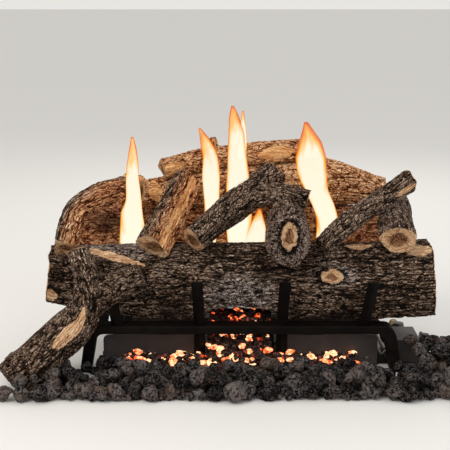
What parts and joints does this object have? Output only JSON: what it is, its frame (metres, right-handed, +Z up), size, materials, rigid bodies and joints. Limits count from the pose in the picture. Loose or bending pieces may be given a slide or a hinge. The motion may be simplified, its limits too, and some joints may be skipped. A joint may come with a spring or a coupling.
{
  "type": "gas log set",
  "caption": "Gas fireplace log set: cast ceramic logs stacked on a bar grate over gas burners, with embers, lava rock, pilot, turn valve and push igniter.",
  "frame": {"origin": "on the hearth, on the underside of the base tray, midway between its ends; Y is zero 86 mm behind the tray's front edge", "axes": "+Z up, X along the logs towards the gas controls, +Y away from whoever faces the fire"},
  "size_m": [0.7782, 0.4144, 0.3454],
  "materials": {
    "steel": "matte black heat paint",
    "panel_steel": "matte charcoal heat paint",
    "burner_steel": "heat-dulled",
    "zinc": "zinc plated",
    "brass": "turned",
    "copper": "soft drawn tube",
    "casting": "die cast",
    "plastic": "satin moulded",
    "ceramic_white": "unglazed",
    "charred_bark": "cast and painted as charred bark",
    "warm_bark": "cast and painted as warm brown bark",
    "ember_glow": "glowing fibre and vermiculite",
    "lava": "rough porous"
  },
  "bodies": {
    "log_set": {"base_tray": "steel", "front_panel": "panel_steel", "panel_screw_left": "zinc", "panel_screw_right": "zinc", "grate_front_frame": "steel", "grate_rear_frame": "steel", "grate_bar_1": "steel", "grate_bar_2": "steel", "grate_bar_3": "steel", "grate_bar_4": "steel", "grate_finger_1": "steel", "grate_finger_2": "steel", "grate_finger_3": "steel", "grate_finger_4": "steel", "rear_log_rest_left": "steel", "rear_log_rest_right": "steel", "rear_burner_tube": "burner_steel", "burner_cradle": "steel", "burner_mixer_tube": "burner_steel", "gas_orifice": "brass", "control_shelf": "steel", "valve_body": "casting", "valve_bonnet": "casting", "control_cover": "panel_steel", "piezo_igniter": "plastic", "pressure_regulator": "casting", "gas_inlet_fitting": "brass", "burner_supply_pipe": "copper", "front_burner_tube": "burner_steel", "front_burner_feed": "copper", "ember_ramp": "steel", "pilot_bracket": "steel", "pilot_burner": "burner_steel", "pilot_gas_tube": "copper", "thermocouple": "copper", "spark_electrode": "ceramic_white", "front_log": "charred_bark", "rear_log": "warm_bark", "upper_rear_log": "warm_bark", "top_log": "warm_bark", "centre_stub_log": "charred_bark", "right_end_log": "charred_bark", "split_twig_log": "warm_bark", "centre_forked_branch": "charred_bark", "right_crossing_branch": "charred_bark", "left_arch_log": "warm_bark", "front_left_forked_log": "charred_bark", "lava_rock_bed_1": "lava", "lava_rock_bed_2": "lava", "lava_rock_bed_3": "lava", "lava_rock_bed_4": "lava", "ember_bed_left": "ember_glow", "ember_bed_right": "ember_glow", "ember_bed_centre": "ember_glow"},
    "air_shutter": {"air_shutter": "zinc"},
    "valve_plug": {"valve_plug": "brass"},
    "control_knob": {"valve_stem": "zinc", "control_knob": "plastic"},
    "igniter_button": {"igniter_button": "plastic"}
  },
  "joints": [
    {"name": "air_shutter_turn", "type": "hinge", "parent": "log_set", "child": "air_shutter", "pos_m": [0.174, 0.026, 0.04], "axis": [1, 0, 0], "range_deg": [0, 60]},
    {"name": "valve_turn", "type": "hinge", "parent": "log_set", "child": "valve_plug", "pos_m": [0.276, -0.041, 0.023], "axis": [1, 0, 0], "range_deg": [0, 180]},
    {"name": "knob_push", "type": "slide", "parent": "valve_plug", "child": "control_knob", "axis": [-1, 0, 0], "range_m": [0, 0.003], "stiffness_N_per_m": 900, "springref_m": -0.002},
    {"name": "igniter_press", "type": "slide", "parent": "log_set", "child": "igniter_button", "axis": [-1, 0, 0], "range_m": [0, 0.006], "stiffness_N_per_m": 700, "springref_m": -0.002}
  ]
}
